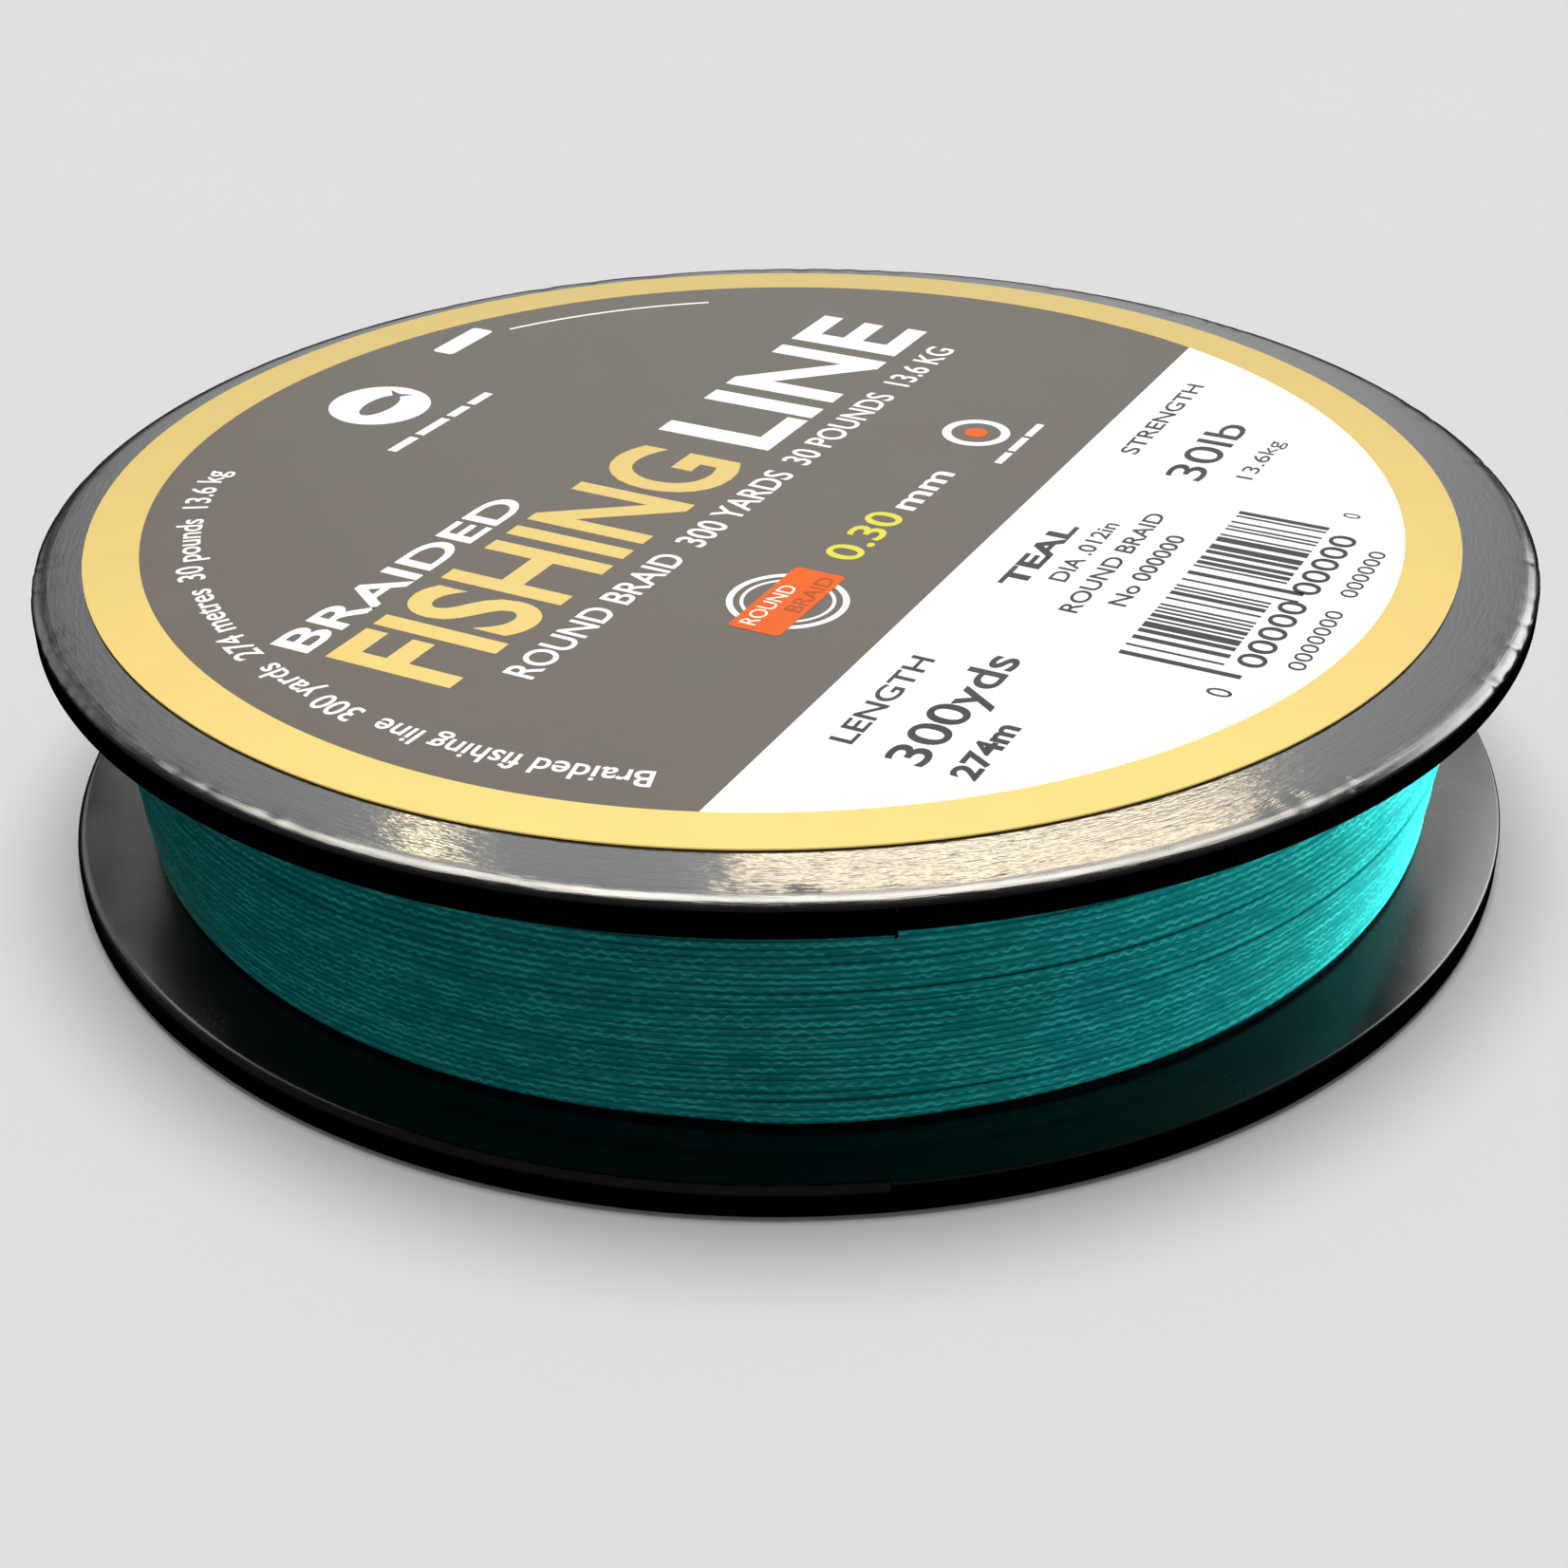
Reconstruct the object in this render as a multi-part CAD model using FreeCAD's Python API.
import FreeCAD, Part
import math
import os

# Spool of braided fishing line, standing on its lower flange.
# Millimetres. Origin at the centre of the lower flange's resting face, +Z along the spool's axis.

# Moulded body
RIM_R = 52.5            # outer radius of both flanges
BODY_H = 21.92          # resting face to label face
ROOT_T = 3.30           # flange thickness where it meets the barrel
TIP_T = 2.33            # flange thickness at the rim, before its edges are rounded
OUTER_ROUND_R = 1.2     # radial width of the rounding on a flange's outer edge
OUTER_ROUND_H = 0.52    # height of that rounding
INNER_ROUND = 0.8       # radius of the edge that faces the line
BARREL_R = 40.5         # outside of the barrel that the line is wound on
BARREL_WALL = 2.0
FACE_T = 2.0            # closed end wall under the label
BOSS_R = 8.5
BORE_R = 4.8            # runs on a 3/8 in (9.525 mm) spindle
BOSS_SET_IN = 0.6       # boss end above the resting face
BORE_LEAD_IN = 0.4
RIB_COUNT = 6
RIB_T = 1.4
RIB_SET_IN = 1.2        # rib edges above the resting face

# Line where the two slides of the mould meet, on both rims
SPLIT_AZIMUTH = -83.7   # degrees; a second one lies opposite
SPLIT_W = 0.16
SPLIT_PROUD = 0.06

# Label
LABEL_R = 48.56
LABEL_T = 0.15
LABEL_X = -0.9          # it was stuck on a little off centre
LABEL_Y = 1.5

# Line: 274 m (300 yd) of 0.305 mm (0.012 in) braid, wound at one line's width each way
LINE_LENGTH = 274000.0
LINE_D = 0.305
WOUND_R = 46.4
SIDE_GAP = 0.02         # between the winding and what it lies on

# Tapes that hold the line's two ends
TAPE_T = 0.09
START_TAPE = {"azimuth": 20.0, "length": 22.0, "low": 6.5, "high": 15.5}
END_TAPE = {"azimuth": 90.0, "length": 24.0, "low": 5.5, "high": 16.5}


def point(radius, height):
    return FreeCAD.Vector(radius, 0, height)


def line(start, end):
    return Part.LineSegment(start, end).toShape()


def arc(start, middle, end):
    return Part.Arc(start, middle, end).toShape()


def turned(edges, degrees=360.0):
    """A closed outline in the XZ plane, turned about the spool's axis."""
    face = Part.Face(Part.Wire(edges))
    return face.revolve(FreeCAD.Vector(0, 0, 0), FreeCAD.Vector(0, 0, 1), degrees)


def turned_box(inner_r, outer_r, low, high, degrees=360.0):
    corners = [point(inner_r, low), point(outer_r, low), point(outer_r, high), point(inner_r, high)]
    return turned([line(corners[i], corners[(i + 1) % 4]) for i in range(4)], degrees)


def flange_thickness(radius):
    share = (radius - BARREL_R) / (RIM_R - BARREL_R)
    return ROOT_T + (TIP_T - ROOT_T) * share


def rim_edges(height):
    """Outer rounding, wall and inner rounding of one rim; height(h) lies h from its outer face."""
    outer_r = RIM_R - OUTER_ROUND_R
    inner_r = RIM_R - INNER_ROUND
    shoulder = flange_thickness(inner_r)
    diagonal = INNER_ROUND * math.sqrt(0.5)
    wall_start = point(RIM_R, height(OUTER_ROUND_H))
    wall_end = point(RIM_R, height(shoulder - INNER_ROUND))
    middle = point(inner_r + diagonal, height(shoulder - INNER_ROUND + diagonal))
    centre = point(outer_r, height(OUTER_ROUND_H))
    oval = Part.Ellipse(wall_start, point(outer_r, height(0)), centre)
    return [
        Part.ArcOfEllipse(oval, 0, math.pi / 2).toShape(),
        line(wall_start, wall_end),
        arc(wall_end, middle, point(inner_r, height(shoulder))),
    ]


def make_shell():
    """Barrel, both flanges, end wall and boss: everything on the body that is round."""
    inside_r = BARREL_R - BARREL_WALL
    outer_r = RIM_R - OUTER_ROUND_R
    inner_r = RIM_R - INNER_ROUND
    shoulder = flange_thickness(inner_r)
    inside = [
        point(outer_r, BODY_H),
        point(BORE_R, BODY_H),
        point(BORE_R, BOSS_SET_IN + BORE_LEAD_IN),
        point(BORE_R + BORE_LEAD_IN, BOSS_SET_IN),
        point(BOSS_R, BOSS_SET_IN),
        point(BOSS_R, BODY_H - FACE_T),
        point(inside_r, BODY_H - FACE_T),
        point(inside_r, 0),
        point(outer_r, 0),
    ]
    channel = [
        point(inner_r, shoulder),
        point(BARREL_R, ROOT_T),
        point(BARREL_R, BODY_H - ROOT_T),
        point(inner_r, BODY_H - shoulder),
    ]
    edges = rim_edges(lambda h: h) + rim_edges(lambda h: BODY_H - h)
    for run in (inside, channel):
        edges += [line(a, b) for a, b in zip(run, run[1:])]
    return turned(Part.__sortEdges__(edges))


def make_rib(azimuth):
    start = BOSS_R - 1.0
    end = BARREL_R - BARREL_WALL + 1.0
    height = BODY_H - FACE_T + 0.5 - RIB_SET_IN
    corner = FreeCAD.Vector(start, -RIB_T / 2, RIB_SET_IN)
    rib = Part.makeBox(end - start, RIB_T, height, corner)
    rib.rotate(FreeCAD.Vector(0, 0, 0), FreeCAD.Vector(0, 0, 1), azimuth)
    return rib


def make_split_ridge(azimuth, low, high):
    """Thin raised line up a rim wall."""
    depth = 0.4
    corner = FreeCAD.Vector(RIM_R - depth, -SPLIT_W / 2, low)
    ridge = Part.makeBox(depth + SPLIT_PROUD, SPLIT_W, high - low, corner)
    ridge.rotate(FreeCAD.Vector(0, 0, 0), FreeCAD.Vector(0, 0, 1), azimuth)
    return ridge


def make_spool_body():
    ribs = [make_rib(i * 360.0 / RIB_COUNT) for i in range(RIB_COUNT)]
    wall_low = OUTER_ROUND_H
    wall_high = flange_thickness(RIM_R - INNER_ROUND) - INNER_ROUND
    ridges = []
    for azimuth in (SPLIT_AZIMUTH, SPLIT_AZIMUTH + 180.0):
        ridges.append(make_split_ridge(azimuth, wall_low, wall_high))
        ridges.append(make_split_ridge(azimuth, BODY_H - wall_high, BODY_H - wall_low))
    return make_shell().fuse(ribs + ridges).removeSplitter()


def make_label():
    return Part.makeCylinder(LABEL_R, LABEL_T, FreeCAD.Vector(LABEL_X, LABEL_Y, BODY_H))


def tape_patch(tape, inner_r, gap=0.0):
    """A piece of tape bent round the axis; gap grows it on every side."""
    degrees = math.degrees((tape["length"] + 2 * gap) / inner_r)
    patch = turned_box(inner_r - gap, inner_r + TAPE_T + gap, tape["low"] - gap, tape["high"] + gap, degrees)
    patch.rotate(FreeCAD.Vector(0, 0, 0), FreeCAD.Vector(0, 0, 1), tape["azimuth"] - degrees / 2)
    return patch


def make_winding():
    """The whole length of line as one pack that fills the channel up to WOUND_R."""
    low_in = flange_thickness(BARREL_R) + SIDE_GAP
    low_out = flange_thickness(WOUND_R) + SIDE_GAP
    inner_r = BARREL_R + SIDE_GAP
    corners = [
        point(inner_r, low_in),
        point(WOUND_R, low_out),
        point(WOUND_R, BODY_H - low_out),
        point(inner_r, BODY_H - low_in),
    ]
    pack = turned([line(corners[i], corners[(i + 1) % 4]) for i in range(4)])
    return pack.cut(tape_patch(START_TAPE, BARREL_R + SIDE_GAP, gap=SIDE_GAP))


def main():
    nodes = {
        "spool_body": make_spool_body(),
        "front_label": make_label(),
        "line_winding": make_winding(),
        "line_start_tape": tape_patch(START_TAPE, BARREL_R + SIDE_GAP),
        "line_end_tape": tape_patch(END_TAPE, WOUND_R + SIDE_GAP),
    }
    os.makedirs("parts", exist_ok=True)
    for name, shape in nodes.items():
        shape.exportStep("parts/" + name + ".step")
        print(name, "solids", len(shape.Solids), "valid", shape.isValid(), "mm3", round(shape.Volume, 1))
    print("line's own volume as wound, mm3", round(LINE_LENGTH * LINE_D * LINE_D))


main()
